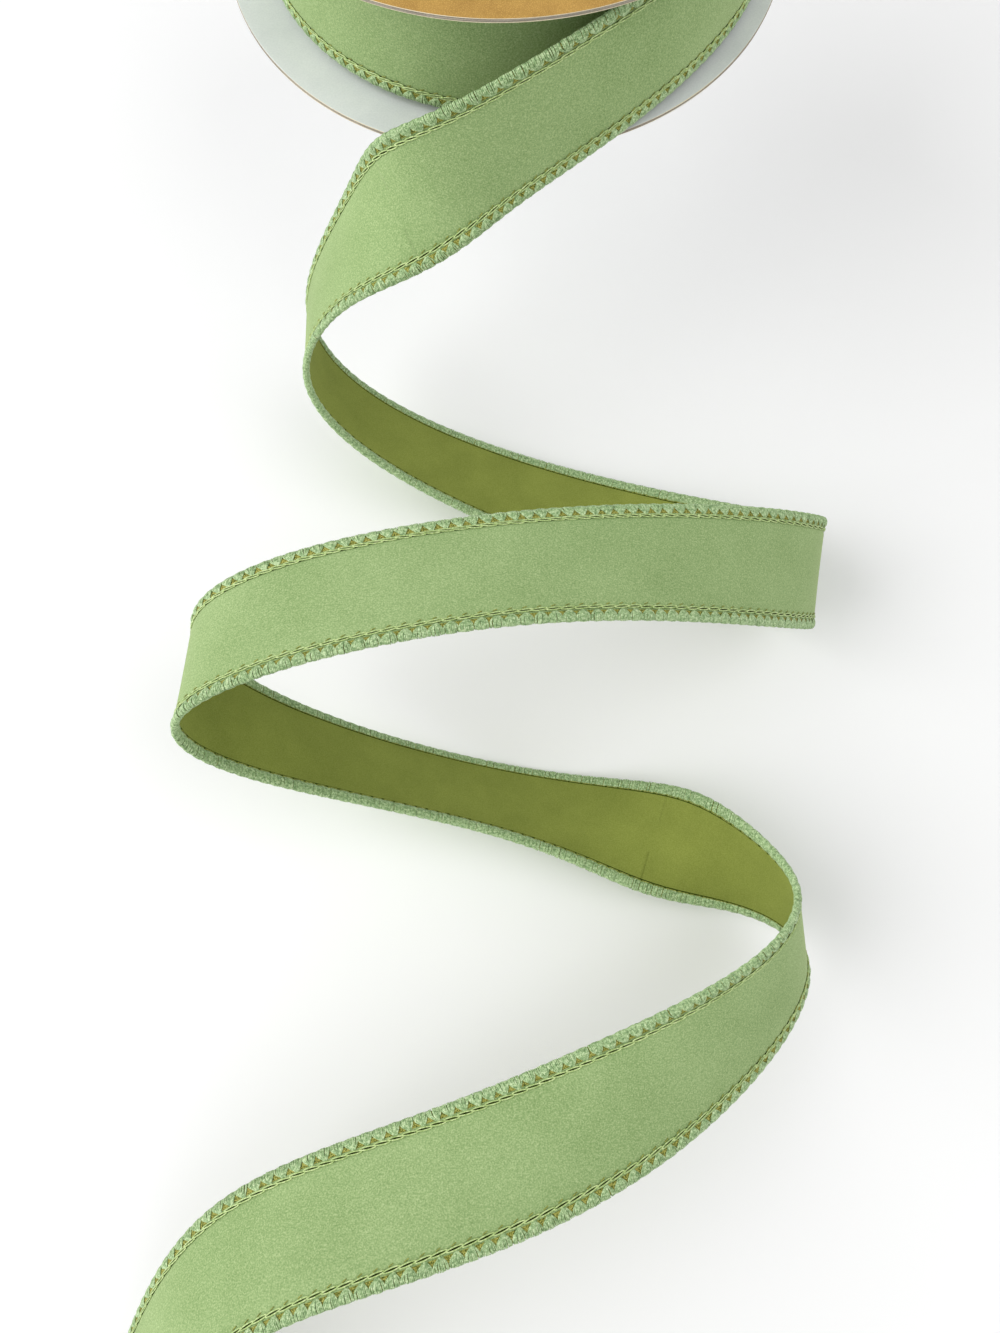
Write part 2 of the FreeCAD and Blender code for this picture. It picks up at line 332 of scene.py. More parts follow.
class Nodes:
    """A short way to write a material's nodes."""

    def __init__(self, name):
        self.material = bpy.data.materials.new(name)
        self.material.use_nodes = True
        self.tree = self.material.node_tree
        self.shader = self.tree.nodes["Principled BSDF"]
        self.coordinates = self.tree.nodes.new("ShaderNodeTexCoord").outputs["Object"]

    def node(self, kind, **settings):
        made = self.tree.nodes.new(kind)
        for key, value in settings.items():
            setattr(made, key, value)
        return made

    def link(self, source, target):
        self.tree.links.new(source, target)

    def noise(self, scale, detail=3.0, roughness=0.6, stretch=None):
        made = self.node("ShaderNodeTexNoise")
        made.inputs["Scale"].default_value = scale
        made.inputs["Detail"].default_value = detail
        made.inputs["Roughness"].default_value = roughness
        source = self.coordinates
        if stretch:
            mapping = self.node("ShaderNodeMapping")
            mapping.inputs["Scale"].default_value = stretch
            self.link(source, mapping.inputs["Vector"])
            source = mapping.outputs["Vector"]
        self.link(source, made.inputs["Vector"])
        return made.outputs["Fac"]

    def ramp(self, source, stops):
        made = self.node("ShaderNodeValToRGB")
        elements = made.color_ramp.elements
        while len(elements) < len(stops):
            elements.new(0.5)
        for element, (place, colour) in zip(elements, stops):
            element.position = place
            element.color = (*colour, 1)
        self.link(source, made.inputs["Fac"])
        return made.outputs["Color"]

    def mix(self, share, first, second, blend_type="MIX"):
        made = self.node("ShaderNodeMix", data_type="RGBA", blend_type=blend_type)
        self.put(share, made.inputs["Factor"])
        self.put(first, made.inputs[6])
        self.put(second, made.inputs[7])
        return made.outputs[2]

    def put(self, value, socket):
        if hasattr(value, "is_linked"):
            self.link(value, socket)
        elif isinstance(value, tuple):
            socket.default_value = (*value, 1)
        else:
            socket.default_value = value

    def maths(self, operation, first, second=0.0):
        made = self.node("ShaderNodeMath", operation=operation)
        self.put(first, made.inputs[0])
        self.put(second, made.inputs[1])
        return made.outputs[0]

    def bump(self, height, strength, distance):
        made = self.node("ShaderNodeBump")
        made.inputs["Strength"].default_value = strength
        made.inputs["Distance"].default_value = distance
        self.link(height, made.inputs["Height"])
        self.link(made.outputs["Normal"], self.shader.inputs["Normal"])

    def finish(self, colour, roughness, plain, sheen=0.0, sheen_tint=(1, 1, 1),
               sheen_roughness=0.4, specular=0.3):
        self.shader.inputs["Base Color"].default_value = (*plain, 1)
        self.put(colour, self.shader.inputs["Base Color"])
        self.put(roughness, self.shader.inputs["Roughness"])
        self.shader.inputs["Sheen Weight"].default_value = sheen
        self.shader.inputs["Sheen Tint"].default_value = (*sheen_tint, 1)
        self.shader.inputs["Sheen Roughness"].default_value = sheen_roughness
        self.shader.inputs["Specular IOR Level"].default_value = specular
        self.material.diffuse_color = (*plain, 1)
        return self.material


def srgb(red, green, blue):
    """A colour given as 0 to 255 on screen, as the linear values that nodes take."""
    def linear(value):
        value = value / 255
        return value / 12.92 if value <= 0.04045 else ((value + 0.055) / 1.055) ** 2.4
    return (linear(red), linear(green), linear(blue))


def velvet_material():
    """Short sage pile: a fine speckle where tufts lean towards or away from the eye, under a soft sheen."""
    nodes = Nodes("velvet_pile")
    tufts = nodes.noise(2300, detail=2.0, roughness=0.6)
    tuft_colours = [(0.28, srgb(110, 140, 82)), (0.5, srgb(148, 174, 114)), (0.72, srgb(192, 210, 154))]
    speckle = nodes.ramp(tufts, tuft_colours)
    shading = nodes.noise(38, detail=2.0)
    brushed = nodes.ramp(shading, [(0.3, srgb(132, 156, 104)), (0.7, srgb(158, 180, 128))])
    colour = nodes.mix(0.4, speckle, brushed)
    nodes.bump(tufts, 0.4, 0.3 * MM)
    return nodes.finish(colour, 0.85, srgb(138, 172, 104), sheen=0.5, sheen_tint=srgb(225, 236, 184),
                        sheen_roughness=0.35, specular=0.12)


def seam_shade_material():
    """Painted shade: pile pressed flat in the seam, coloured dark green for the shade that the stitches cast
    there.
    """
    nodes = Nodes("painted_seam_shade")
    fine = nodes.noise(2200, detail=2.0)
    # these dark greens are painted shade in the seam, not the pile's own colour
    colour = nodes.ramp(fine, [(0.35, srgb(38, 52, 16)), (0.65, srgb(74, 90, 34))])
    nodes.bump(fine, 0.4, 0.15 * MM)
    return nodes.finish(colour, 0.95, srgb(50, 66, 26), specular=0.05)


def backing_material():
    """Matte olive cloth, faintly mottled, with a fine plain weave."""
    nodes = Nodes("olive_backing")
    mottle = nodes.noise(60, detail=4.0, roughness=0.55)
    weave = nodes.noise(2600, detail=1.0)
    base = nodes.ramp(mottle, [(0.3, srgb(118, 128, 56)), (0.7, srgb(136, 146, 68))])
    fine = nodes.ramp(weave, [(0.35, srgb(114, 124, 50)), (0.65, srgb(150, 160, 80))])
    colour = nodes.mix(0.35, base, fine)
    nodes.bump(weave, 0.35, 0.12 * MM)
    return nodes.finish(colour, 0.9, srgb(124, 136, 55), sheen=0.12, sheen_tint=srgb(190, 200, 120),
                        specular=0.15)


def thread_material(name, dark, middle, light, sheen=0.25):
    """Silky thread: colour that shifts from filament to filament, with a low shine."""
    nodes = Nodes(name)
    between = nodes.noise(1400, detail=1.0)
    fine = nodes.noise(5200, detail=1.0)
    blended = nodes.maths("ADD", nodes.maths("MULTIPLY", between, 0.5), nodes.maths("MULTIPLY", fine, 0.5))
    colour = nodes.ramp(blended, [(0.36, dark), (0.5, middle), (0.64, light)])
    nodes.bump(fine, 0.3, 0.08 * MM)
    return nodes.finish(colour, 0.48, middle, sheen=sheen, sheen_tint=srgb(232, 245, 208), specular=0.45)


def mesh_material():
    """The fine olive net of crossed threads that shows between the stitched fans."""
    nodes = Nodes("olive_net")
    cells = nodes.node("ShaderNodeTexVoronoi")
    cells.inputs["Scale"].default_value = 3000
    nodes.link(nodes.coordinates, cells.inputs["Vector"])
    net_colours = [(0.1, srgb(196, 190, 110)), (0.5, srgb(138, 140, 58)), (0.8, srgb(66, 82, 30))]
    colour = nodes.ramp(cells.outputs["Distance"], net_colours)
    nodes.bump(cells.outputs["Distance"], 0.6, 0.12 * MM)
    return nodes.finish(colour, 0.7, srgb(130, 134, 56), specular=0.25)


def wire_material():
    nodes = Nodes("edge_wire")
    drawn = nodes.noise(900, detail=2.0)
    colour = nodes.ramp(drawn, [(0.3, srgb(150, 150, 148)), (0.7, srgb(186, 186, 182))])
    nodes.shader.inputs["Metallic"].default_value = 1.0
    return nodes.finish(colour, 0.35, srgb(170, 170, 168))


def pale_paper_material():
    """Pale grey coated paper with a faint print mottle and a few scuffs."""
    nodes = Nodes("pale_paper")
    mottle = nodes.noise(45, detail=5.0)
    fibre = nodes.noise(1800, detail=2.0)
    base = nodes.ramp(mottle, [(0.3, srgb(212, 216, 216)), (0.7, srgb(226, 229, 228))])
    colour = nodes.mix(0.2, base, nodes.ramp(fibre, [(0.3, srgb(196, 201, 202)), (0.7, srgb(236, 238, 237))]))
    nodes.bump(fibre, 0.12, 0.05 * MM)
    return nodes.finish(colour, 0.62, srgb(219, 222, 222), specular=0.3)


def gold_paper_material():
    """Ochre gold paper with a pressed leather-like grain."""
    nodes = Nodes("gold_paper")
    grain = nodes.node("ShaderNodeTexVoronoi", feature="DISTANCE_TO_EDGE")
    grain.inputs["Scale"].default_value = 1900
    nodes.link(nodes.coordinates, grain.inputs["Vector"])
    mottle = nodes.noise(120, detail=5.0)
    base = nodes.ramp(mottle, [(0.3, srgb(164, 124, 52)), (0.7, srgb(196, 154, 74))])
    valleys = nodes.ramp(grain.outputs["Distance"], [(0.0, srgb(146, 108, 48)), (0.25, srgb(208, 168, 92))])
    colour = nodes.mix(0.4, base, valleys)
    nodes.bump(grain.outputs["Distance"], 0.35, 0.12 * MM)
    return nodes.finish(colour, 0.5, srgb(194, 152, 78), specular=0.4)


def board_material():
    """Raw grey board: fine fibres lying in plies."""
    nodes = Nodes("grey_board")
    plies = nodes.noise(90, detail=4.0, stretch=(1, 1, 30))
    fibre = nodes.noise(2200, detail=2.0)
    base = nodes.ramp(plies, [(0.3, srgb(140, 132, 120)), (0.7, srgb(176, 168, 154))])
    colour = nodes.mix(0.3, base, nodes.ramp(fibre, [(0.3, srgb(120, 112, 100)), (0.7, srgb(190, 182, 168))]))
    nodes.bump(fibre, 0.4, 0.1 * MM)
    return nodes.finish(colour, 0.9, srgb(158, 150, 137), specular=0.15)


def cream_paper_material():
    """The cut edge of the facing paper."""
    nodes = Nodes("cream_paper_edge")
    fibre = nodes.noise(1500, detail=2.0)
    colour = nodes.ramp(fibre, [(0.3, srgb(222, 208, 176)), (0.7, srgb(240, 230, 204))])
    return nodes.finish(colour, 0.8, srgb(232, 220, 192), specular=0.2)


def tape_material():
    nodes = Nodes("clear_tape")
    streaks = nodes.noise(300, detail=2.0, stretch=(1, 1, 12))
    colour = nodes.ramp(streaks, [(0.3, srgb(206, 196, 160)), (0.7, srgb(222, 214, 184))])
    return nodes.finish(colour, 0.2, srgb(214, 205, 172), specular=0.5)


VELVET = velvet_material()
SEAM_SHADE = seam_shade_material()
BACKING = backing_material()
MINT_THREAD = thread_material("mint_thread", srgb(98, 130, 78), srgb(154, 184, 128), srgb(210, 228, 180))
CHAIN_THREAD = thread_material("chain_thread", srgb(136, 160, 88), srgb(178, 202, 130), srgb(218, 232, 172))
OLIVE_THREAD = thread_material("olive_thread", srgb(92, 104, 34), srgb(134, 142, 54), srgb(172, 176, 84),
                               sheen=0.1)
OLIVE_NET = mesh_material()
WIRE = wire_material()
PALE_PAPER = pale_paper_material()
GOLD_PAPER = gold_paper_material()
BOARD = board_material()
CREAM_EDGE = cream_paper_material()
TAPE = tape_material()


# ---------------------------------------------------------------- cloth

CLOTH_ROW = 1.0 * MM
VELVET_COLUMNS = 34
BACKING_COLUMNS = 16
RIPPLE = 0.10 * MM
RIPPLE_LENGTH = 17 * MM
TUFT = 0.035 * MM
TUFT_LENGTH = 1.1 * MM
SEAM_DIP = 0.34 * MM
SEAM_DIP_WIDTH = 0.8 * MM
SEAM_REACH = 0.9 * MM
SEAM_COLUMNS = 7
# half the width of the dark strip of painted seam shade along each chain line
SEAM_SHADE_HALF_WIDTH = 0.35 * MM


def ripple_at(length, along_width):
    """A slow unevenness that both layers share."""
    place = Vector((length / RIPPLE_LENGTH, along_width / RIPPLE_LENGTH, 3.7))
    return RIPPLE * noise.noise(place)


def tuft_at(length, along_width):
    return TUFT * noise.noise(Vector((length / TUFT_LENGTH, along_width / TUFT_LENGTH, 9.1)))


def cloth_columns(middle_columns):
    """Places across the width, close together in both seams."""
    seam = CHAIN_LINE + np.linspace(-SEAM_REACH, SEAM_REACH, SEAM_COLUMNS)
    middle = np.linspace(-seam[0], seam[0], middle_columns)[1:-1]
    return np.concatenate([-seam[::-1], middle, seam])


def cloth_layer(name, start, end, spread, top, underside, tufted, materials):
    """A closed layer of cloth between two lengths, with its seams in the second material, which is painted
    shade.
    """
    rows = max(3, round((end - start) / CLOTH_ROW) + 1)
    lengths = np.linspace(start, end, rows)
    grid_lengths, grid_widths = np.meshgrid(lengths, spread, indexing="ij")
    ripple = np.vectorize(ripple_at)(grid_lengths, grid_widths)
    upper = top + ripple
    lower = underside + ripple
    if tufted:
        upper = upper + np.vectorize(tuft_at)(grid_lengths, grid_widths)
        from_seam = (np.abs(grid_widths) - CHAIN_LINE) / SEAM_DIP_WIDTH
        upper = upper - SEAM_DIP * np.exp(-from_seam ** 2)
    rings = np.concatenate([
        path.place(grid_lengths, grid_widths, upper),
        path.place(grid_lengths, grid_widths, lower)[:, ::-1],
    ], axis=1)
    faces = tube_along(rings)
    between_columns = np.abs((spread[1:] + spread[:-1]) / 2)
    # faces near the chain line take the painted seam shade
    in_seam_shade = (np.abs(np.abs(between_columns) - CHAIN_LINE) < SEAM_SHADE_HALF_WIDTH).astype(int)
    slot_of_side = np.concatenate([in_seam_shade, [0], in_seam_shade[::-1], [0]])
    slots = np.concatenate([np.tile(slot_of_side, rows - 1), [0, 0]])
    return make_mesh(name, rings.reshape(-1, 3), faces, materials, slots)


def velvet_piece(name, start, end):
    # the second material is the painted seam shade
    layers = [VELVET, SEAM_SHADE]
    spread = cloth_columns(VELVET_COLUMNS)
    piece = cloth_layer(name, start, end, spread, VELVET_TOP, VELVET_UNDERSIDE, True, layers)
    return piece


def backing_piece(name, start, end):
    spread = cloth_columns(BACKING_COLUMNS)
    # the second material is the painted seam shade
    piece = cloth_layer(name, start, end, spread, 0.0, BACKING_UNDERSIDE, False, [BACKING, SEAM_SHADE])
    return piece


# ---------------------------------------------------------------- stitched borders

FILAMENT_POINTS = 15
FILAMENT_SIDES = 5
BUNDLE_PUFF = 0.22 * MM
FAN_LEAN = 0.5 * MM
FAN_START_ANGLE = 0.13 * math.pi
FAN_END_ANGLE = 1.86 * math.pi
CORE_SHARE = 0.84


def bead_section(angle, side, swell):
    """A point of the bead's oval section: 0 is its inner side, half a turn is the ribbon's very edge."""
    along_width = side * (BEAD_CENTRE - (BEAD_HALF_WIDTH + swell) * np.cos(angle))
    outward = CLOTH_MIDDLE + (BEAD_HALF_THICKNESS + swell) * np.sin(angle)
    return along_width, outward


def filaments(side, stitches, surface):
    """The threads that wrap the edge: side by side round the rim, and gathered to a point on the front."""
    count = len(stitches)
    offsets = (np.arange(FILAMENTS_PER_STITCH) + 0.5) / FILAMENTS_PER_STITCH - 0.5
    angles = np.linspace(FAN_START_ANGLE, FAN_END_ANGLE, FILAMENT_POINTS)
    jitter = rng.normal(0, 0.018, (count, FILAMENTS_PER_STITCH))
    lift_jitter = rng.normal(0, 0.025 * MM, (count, FILAMENTS_PER_STITCH))
    offset = (offsets[None, :] + jitter)[..., None] * STITCH_PITCH
    lift = lift_jitter[..., None]
    angle = np.broadcast_to(angles, (count, FILAMENTS_PER_STITCH, FILAMENT_POINTS))
    reach = np.abs(bead_section(angle, 1, 0)[0])
    spread = np.clip((reach - FAN_PINCH) / (FAN_FULL - FAN_PINCH), FAN_PINCH_SHARE, 1)
    spread = np.where(angle > math.pi, 1.0, spread)
    puff = BUNDLE_PUFF * np.cos(np.clip(offset / STITCH_PITCH, -0.5, 0.5) * math.pi) * spread
    along_width, outward = bead_section(angle, side, puff + lift)
    centre = ((stitches + 0.5) * STITCH_PITCH)[:, None, None]
    lean = FAN_LEAN * (spread - 0.5)
    lengths = centre + offset * spread + lean
    flat = (count * FILAMENTS_PER_STITCH, FILAMENT_POINTS)
    lengths = lengths.reshape(flat)
    paths = surface.place(lengths, along_width.reshape(flat), outward.reshape(flat))
    references = surface.frame_at(lengths)[1]
    width = FILAMENT_RADIUS * (0.5 + 0.5 * spread.reshape(flat))
    return strands(paths, references, width, width * 0.72, FILAMENT_SIDES)


CHAIN_POINTS = 16
CHAIN_BULGE = 0.4 * MM
CHAIN_HALF_LENGTH = 0.56
CHAIN_TILT = 0.22 * MM
CHAIN_HUMP = 0.12 * MM
CHAIN_THREAD_RADIUS = 0.17 * MM


def chain_links(side, stitches, surface):
    """A line of long closed loops along the front of the border, each laid over the end of the last."""
    around = 2 * math.pi * np.arange(CHAIN_POINTS + 1) / CHAIN_POINTS
    wobble = rng.normal(0, 0.04 * MM, (len(stitches), 1))
    lengths = (stitches[:, None] + 0.5 + CHAIN_HALF_LENGTH * np.cos(around)[None, :]) * STITCH_PITCH
    along_width = CHAIN_LINE + CHAIN_BULGE * np.sin(around) + CHAIN_TILT * np.cos(around) + wobble
    rise = CHAIN_HUMP * (1 + np.cos(around))
    outward = np.broadcast_to(VELVET_TOP + rise, lengths.shape)
    paths = surface.place(lengths, side * along_width, outward)
    references = surface.frame_at(lengths)[3]
    radius = np.full(paths.shape[:2], CHAIN_THREAD_RADIUS)
    return strands(paths, references, radius, radius * 1.2, 6)


DASH_POINTS = 6
FRONT_DASH_LINE = 14.0 * MM
BACK_SEAM_LINE = 15.2 * MM


def dashes(side, stitches, surface, line, height, share_of_pitch, slant, radius):
    """One short thread to every stitch, dipping into the cloth at both of its ends."""
    share = np.linspace(-0.5, 0.5, DASH_POINTS)
    lengths = (stitches[:, None] + 0.5 + share[None, :] * share_of_pitch) * STITCH_PITCH
    rise = np.sign(height) * radius * np.cos(share * math.pi)
    outward = np.broadcast_to(height + rise, lengths.shape)
    along_width = np.broadcast_to(side * (line + slant * share), lengths.shape)
    paths = surface.place(lengths, along_width, outward)
    references = surface.frame_at(lengths)[2]
    thickness = np.full(lengths.shape, radius)
    return strands(paths, references, thickness, thickness, 5)


CORE_SIDES = 14


def border_core(side, start, end, surface):
    """The folded cloth and wire under the stitching, as one oval cord."""
    rows = max(3, round((end - start) / CLOTH_ROW) + 1)
    lengths = np.linspace(start, end, rows)
    angle = 2 * math.pi * np.arange(CORE_SIDES) / CORE_SIDES
    grid_lengths, grid_angles = np.meshgrid(lengths, angle, indexing="ij")
    shrink = BEAD_HALF_THICKNESS * (CORE_SHARE - 1)
    along_width, outward = bead_section(grid_angles, side, shrink)
    rings = surface.place(grid_lengths, along_width, outward)
    return rings.reshape(-1, 3), tube_along(rings)


STITCHING_MATERIALS = (MINT_THREAD, CHAIN_THREAD, OLIVE_THREAD, OLIVE_NET)
MINT_SLOT, CHAIN_SLOT, OLIVE_SLOT, NET_SLOT = range(4)


def stitching_piece(name, side, start, end, surface):
    """One stitched border between two lengths."""
    stitches = np.arange(round(start / STITCH_PITCH), round(end / STITCH_PITCH))
    wraps = filaments(side, stitches, surface)
    chain = chain_links(side, stitches, surface)
    back = dashes(side, stitches, surface, BACK_SEAM_LINE, BACKING_UNDERSIDE, 0.8, 0.0, 0.16 * MM)
    core = border_core(side, start, end, surface)
    parts = [(*wraps, MINT_SLOT), (*chain, CHAIN_SLOT), (*back, OLIVE_SLOT), (*core, NET_SLOT)]
    if side < 0:
        front = dashes(side, stitches, surface, FRONT_DASH_LINE, VELVET_TOP, 0.32, 0.5 * MM, 0.15 * MM)
        parts.append((*front, OLIVE_SLOT))
    vertices, faces, slots = joined(parts)
    piece = make_mesh(name, vertices, faces, STITCHING_MATERIALS, slots)
    return piece


WIRE_SIDES = 10
WIRE_ROW = 2.0 * MM


def wires_piece(name, start, end):
    """Both edge wires between two lengths."""
    parts = []
    rows = max(3, round((end - start) / WIRE_ROW) + 1)
    for side in (-1, 1):
        lengths = np.linspace(start, end, rows)[None, :]
        along_width = np.full(lengths.shape, side * WIRE_ALONG_WIDTH)
        outward = np.full(lengths.shape, CLOTH_MIDDLE)
        paths = path.place(lengths, along_width, outward)
        radius = np.full(lengths.shape, WIRE_RADIUS)
        parts.append((*strands(paths, path.frame_at(lengths)[2], radius, radius, WIRE_SIDES), 0))
    vertices, faces, slots = joined(parts)
    piece = make_mesh(name, vertices, faces, [WIRE], slots)
    return piece


# ---------------------------------------------------------------- the loose ribbon, section by section

def snapped(length):
    """The nearest length that falls between two stitches."""
    return round(length / STITCH_PITCH) * STITCH_PITCH


def ribbon_sections():
    """(name, start, end, hinge number or None) for every section, cut between stitches."""
    hinge = path.hinge_lengths
    first_bend = snapped(hinge[2] - FIRST_BEND_LEAD)
    third = snapped(first_bend / 3)
    sections = [
        ("turn_a", 0.0, third, None),
        ("turn_b", third, 2 * third, None),
        ("turn_c", 2 * third, first_bend, None),
    ]
    start = first_bend
    for link in range(2, LAST_LINK + 1):
        if link < LAST_LINK:
            end = snapped((hinge[link] + hinge[link + 1]) / 2)
        else:
            end = math.floor(path.end / STITCH_PITCH) * STITCH_PITCH
        sections.append((f"bend_{link:02d}", start, end, link))
        start = end
    return sections


def attach(piece, link):
    """Rides the piece on the first link; a piece that spans a hinge only gets its transform baked into its
    mesh.
    """
    if link is None:
        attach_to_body(piece, "tail_01")
        return
    points, tangents, _, _ = path.frame_at(np.array([path.hinge_lengths[link]]))
    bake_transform(piece)


def loose_ribbon():
    for name, start, end, link in ribbon_sections():
        velvet = velvet_piece(f"velvet_{name}", start, end)
        backing = backing_piece(f"backing_{name}", start, end)
        rear = stitching_piece(f"rear_border_{name}", 1, start, end, path)
        front = stitching_piece(f"front_border_{name}", -1, start, end, path)
        wires = wires_piece(f"wires_{name}", start, end)
        for piece in (velvet, backing, rear, front, wires):
            attach(piece, link)
        if link is None and name != "turn_a":
            continue
        node = f"tail_{1 if link is None else link:02d}"
        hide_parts(f"{node}_velvet")
        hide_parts(f"{node}_backing")
        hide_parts(f"{node}_stitching")
        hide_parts(f"{node}_wires")


# ---------------------------------------------------------------- the wound pack

class WoundTurn:
    """A full circle of ribbon on the pack, used in place of the loose ribbon's path."""

    def __init__(self, radius, height):
        self.radius = radius
        self.height = height

    def frame_at(self, lengths):
        angle = -np.asarray(lengths) / self.radius
        zero = np.zeros_like(angle)
        around = [self.radius * np.cos(angle), self.radius * np.sin(angle)]
        points = np.stack(around + [zero + self.height], axis=-1)
        tangents = np.stack([np.sin(angle), -np.cos(angle), zero], axis=-1)
        widths = np.stack([zero, zero, zero + 1], axis=-1)
        return points, tangents, widths, np.cross(widths, tangents)

    def place(self, lengths, along_width, outward):
        points, _, widths, out = self.frame_at(lengths)
        return points + widths * along_width[..., None] + out * outward[..., None]


def wound_pack():
    low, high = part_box("wound_velvet")
    core_low, core_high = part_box("core_tube")
    edge_low, edge_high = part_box("wound_lower_stitching")
    middle = (low[2] + high[2]) / 2
    outer_radius = edge_high[0] - (BEAD_HALF_THICKNESS + BUNDLE_PUFF + CLOTH_MIDDLE)
    stitches_round = round(2 * math.pi * outer_radius / STITCH_PITCH)
    turn = WoundTurn(stitches_round * STITCH_PITCH / (2 * math.pi), middle)
    for side, name in ((1, "wound_upper"), (-1, "wound_lower")):
        border = stitching_piece(f"{name}_border", side, 0.0, stitches_round * STITCH_PITCH, turn)
        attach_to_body(border, "spool")
        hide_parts(f"{name}_stitching")
    coil = wound_coil(core_high[0] + 1.2 * MM, turn.radius, middle)
    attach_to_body(coil, "spool")
    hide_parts("wound_velvet")


COIL_PITCH = 1.65 * MM
COIL_STEP_DEGREES = 3.0


def wound_coil(inner_radius, outer_radius, middle):
    """The turns beneath the outermost one, as one spiral strip with thickened edges."""
    outline = [
        (-19.0, 0.0), (-18.4, 0.62), (-16.4, 0.72), (-15.2, 0.5), (-14.4, 0.72),
        (14.4, 0.72), (15.2, 0.5), (16.4, 0.72), (18.4, 0.62), (19.0, 0.0),
        (18.4, -0.5), (15.6, -0.55), (14.8, -0.4), (-14.8, -0.4), (-15.6, -0.55), (-18.4, -0.5),
    ]
    cloth_sides = (4, 12)
    is_border = [place not in cloth_sides for place in range(len(outline))]
    turns = (outer_radius - inner_radius) / COIL_PITCH
    steps = int(turns * 360 / COIL_STEP_DEGREES)
    angle = -np.radians(COIL_STEP_DEGREES) * np.arange(steps)
    radius = inner_radius + (outer_radius - inner_radius) * np.arange(steps) / (steps - 1)
    shape = np.array(outline) * MM
    ring_radius = radius[:, None] + shape[None, :, 1]
    ring_height = np.broadcast_to(middle + shape[None, :, 0], ring_radius.shape)
    around = [ring_radius * np.cos(angle)[:, None], ring_radius * np.sin(angle)[:, None]]
    rings = np.stack(around + [ring_height], axis=-1)
    faces = tube_along(rings)
    slot_of_side = [1 if border else 0 for border in is_border]
    slot_of_side[12] = 2
    slots = slot_of_side * (steps - 1) + [0, 0]
    coil = make_mesh("wound_coil", rings.reshape(-1, 3), faces, [VELVET, MINT_THREAD, BACKING], slots)
    return coil


# ---------------------------------------------------------------- the spool

LATHE_STEPS = 288


def lathe(name, profile, materials, slots_of_side, wobble=0.0, seed=0.0):
    """A closed ring turned from a closed profile of (radius, height) points."""
    angle = 2 * math.pi * np.arange(LATHE_STEPS) / LATHE_STEPS
    rings = np.zeros((LATHE_STEPS, len(profile), 3))
    for i, (radius, height) in enumerate(profile):
        spots = [Vector((3 * math.cos(a), 3 * math.sin(a), seed + i * 0.35)) for a in angle]
        unevenness = [wobble * noise.noise(spot) for spot in spots]
        wavy = radius + np.array(unevenness)
        level = np.full_like(angle, height)
        rings[:, i] = np.stack([wavy * np.cos(angle), wavy * np.sin(angle), level], axis=1)
    faces = grid_faces(LATHE_STEPS, len(profile), closed_columns=True, closed_rows=True)
    slots = list(slots_of_side) * LATHE_STEPS
    piece = make_mesh(name, rings.reshape(-1, 3), faces, materials, slots)
    return piece


FLAT_STARTS = 0.5 * MM


def sheet_profile(inner, outer, low, high, rounding):
    """A flat ring's section with softened corners, and a corner inside each so that the faces stay flat."""
    r = rounding
    flat_inner = inner + FLAT_STARTS
    flat_outer = outer - FLAT_STARTS
    return [
        (inner + r, low), (flat_inner, low), (flat_outer, low),
        (outer - r, low), (outer - 0.3 * r, low + 0.3 * r), (outer, low + r),
        (outer, high - r), (outer - 0.3 * r, high - 0.3 * r), (outer - r, high),
        (flat_outer, high), (flat_inner, high), (inner + r, high),
        (inner + 0.3 * r, high - 0.3 * r), (inner, high - r),
        (inner, low + r), (inner + 0.3 * r, low + 0.3 * r),
    ]


def paper_ring(node, material, seed):
    """A paper facing with a pale cut edge."""
    low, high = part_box(node)
    outer = high[0] - 0.15 * MM
    inner = SPINDLE_RADIUS + 0.1 * MM
    profile = sheet_profile(inner, outer, low[2], high[2], 0.3 * (high[2] - low[2]))
    edge = [0, 0, 0, 1, 1, 1, 1, 1, 0, 0, 0, 1, 1, 1, 1, 1]
    piece = lathe(node + "_paper", profile, [material, CREAM_EDGE], edge, wobble=0.12 * MM, seed=seed)
    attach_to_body(piece, "spool")
    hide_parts(node)
    return piece


SPINDLE_RADIUS = 16 * MM
PLY_COUNT = 3
PLY_GROOVE = 0.09 * MM


def board_ring(node, seed):
    """Grey board whose cut edge shows its plies."""
    low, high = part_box(node)
    outer = high[0]
    ply = (high[2] - low[2]) / PLY_COUNT
    profile = []
    for level in range(PLY_COUNT):
        bottom = low[2] + ply * level
        bulge = outer if level % 2 else outer - 0.12 * MM
        profile += [(bulge - PLY_GROOVE, bottom + 0.04 * MM)]
        profile += [(bulge, bottom + 0.3 * ply), (bulge, bottom + 0.7 * ply)]
        profile += [(bulge - PLY_GROOVE, bottom + ply - 0.04 * MM)]
    half_way = (low[2] + high[2]) / 2
    profile += [(SPINDLE_RADIUS, high[2]), (SPINDLE_RADIUS - 0.05 * MM, half_way), (SPINDLE_RADIUS, low[2])]
    piece = lathe(node + "_plies", profile, [BOARD], [0] * len(profile), wobble=0.18 * MM, seed=seed)
    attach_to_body(piece, "spool")
    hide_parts(node)
    return piece


CORE_SEAM_WIDTH = 1.6 * MM
CORE_SEAM_DEPTH = 0.18 * MM
CORE_SEAM_TURNS = 1.5


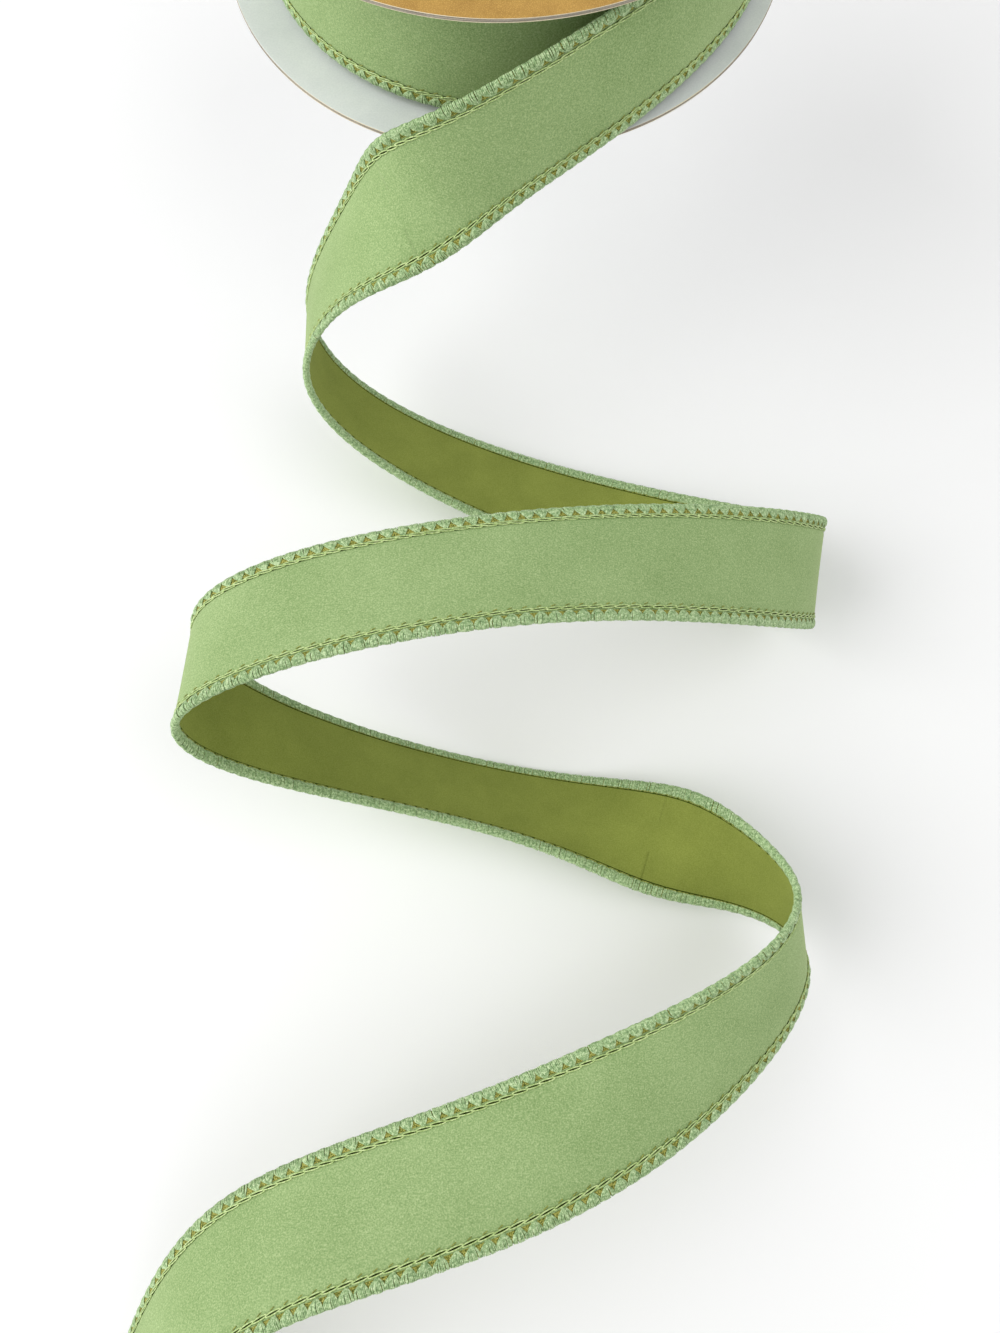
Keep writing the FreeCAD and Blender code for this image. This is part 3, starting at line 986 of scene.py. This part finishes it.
def core_piece():
    """The paper tube in the middle, with the spiral seam of its winding."""
    low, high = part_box("core_tube")
    outer = high[0]
    inner = outer - 2.5 * MM
    rows = 72
    columns = 40
    angle = 2 * math.pi * np.arange(rows * 2) / (rows * 2)
    heights = np.linspace(low[2], high[2], columns)
    rings = []
    for a in angle:
        seam_height = low[2] + ((a / (2 * math.pi) * CORE_SEAM_TURNS) % 1.0) * (high[2] - low[2])
        dip = CORE_SEAM_DEPTH * np.exp(-((heights - seam_height) / CORE_SEAM_WIDTH) ** 2)
        wall = np.concatenate([outer - dip, (inner + dip)[::-1]])
        level = np.concatenate([heights, heights[::-1]])
        rings.append(np.stack([wall * math.cos(a), wall * math.sin(a), level], axis=1))
    rings = np.array(rings)
    faces = grid_faces(len(angle), columns * 2, closed_columns=True, closed_rows=True)
    piece = make_mesh("core_tube_wound", rings.reshape(-1, 3), faces, [BOARD])
    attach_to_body(piece, "spool")
    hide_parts("core_tube")


def spool():
    for node, material, slot, seed in (
        ("lower_flange_facing", PALE_PAPER, "pale_paper", 1.0),
        ("lower_flange_liner", PALE_PAPER, "pale_paper", 2.0),
        ("upper_flange_liner", PALE_PAPER, "pale_paper", 3.0),
        ("upper_flange_facing", GOLD_PAPER, "gold_paper", 4.0),
    ):
        paper_ring(node, material, seed)
    board_ring("lower_flange_board", 5.0)
    board_ring("upper_flange_board", 6.0)
    core_piece()
    tape = frame["nodes"]["inner_end_tape"]
    tape.data.materials.clear()
    tape.data.materials.append(TAPE)


# ---------------------------------------------------------------- stage

CAMERA_PLACE = (0.0019, -0.3278, 0.2511)
CAMERA_RIGHT = (0.99991, 0.0, -0.0136)
CAMERA_FORWARD = (-0.0130, 0.3027, -0.9530)
CAMERA_LENS = 28.36
FLOOR_SIZE = 6.0


def floor(lowest):
    nodes = Nodes("pale_floor")
    mottle = nodes.noise(3, detail=2.0)
    colour = nodes.ramp(mottle, [(0.3, srgb(244, 244, 244)), (0.7, srgb(248, 248, 248))])
    material = nodes.finish(colour, 0.6, srgb(243, 243, 243), specular=0.2)
    half = FLOOR_SIZE / 2
    square = [(-half, -half), (half, -half), (half, half), (-half, half)]
    corners = np.array([(x, y, lowest) for x, y in square])
    make_mesh("floor", corners, [[0, 1, 2, 3]], [material])


def camera():
    data = bpy.data.cameras.new("camera")
    data.lens = CAMERA_LENS
    data.sensor_width = 36
    data.clip_start = 0.01
    viewer = bpy.data.objects.new("camera", data)
    right = Vector(CAMERA_RIGHT).normalized()
    back = (-Vector(CAMERA_FORWARD)).normalized()
    up = back.cross(right).normalized()
    turn = Matrix((right, up, back)).transposed().to_4x4()
    viewer.matrix_world = Matrix.Translation(CAMERA_PLACE) @ turn
    bpy.context.scene.collection.objects.link(viewer)
    bpy.context.scene.camera = viewer


def area_light(name, place, aim, size, energy, colour=(1, 1, 1)):
    data = bpy.data.lights.new(name, "AREA")
    data.shape = "DISK"
    data.size = size
    data.energy = energy
    data.color = colour
    lamp = bpy.data.objects.new(name, data)
    lamp.location = place
    lamp.rotation_euler = (Vector(aim) - Vector(place)).to_track_quat("-Z", "Y").to_euler()
    bpy.context.scene.collection.objects.link(lamp)


def lights():
    bpy.context.scene.view_settings.view_transform = "Standard"
    world = bpy.data.worlds.new("soft_studio")
    world.use_nodes = True
    world.node_tree.nodes["Background"].inputs["Color"].default_value = (1, 1, 1, 1)
    world.node_tree.nodes["Background"].inputs["Strength"].default_value = 0.57
    bpy.context.scene.world = world
    area_light("window", (-1.5, -0.35, 1.0), (0, -0.25, -0.05), 2.2, 31)
    area_light("fill", (0.9, -0.5, 1.3), (0, -0.25, -0.05), 1.5, 8)


loose_ribbon()
wound_pack()
spool()
floor(cad_box[0][2] - 0.5 * MM)
camera()
lights()
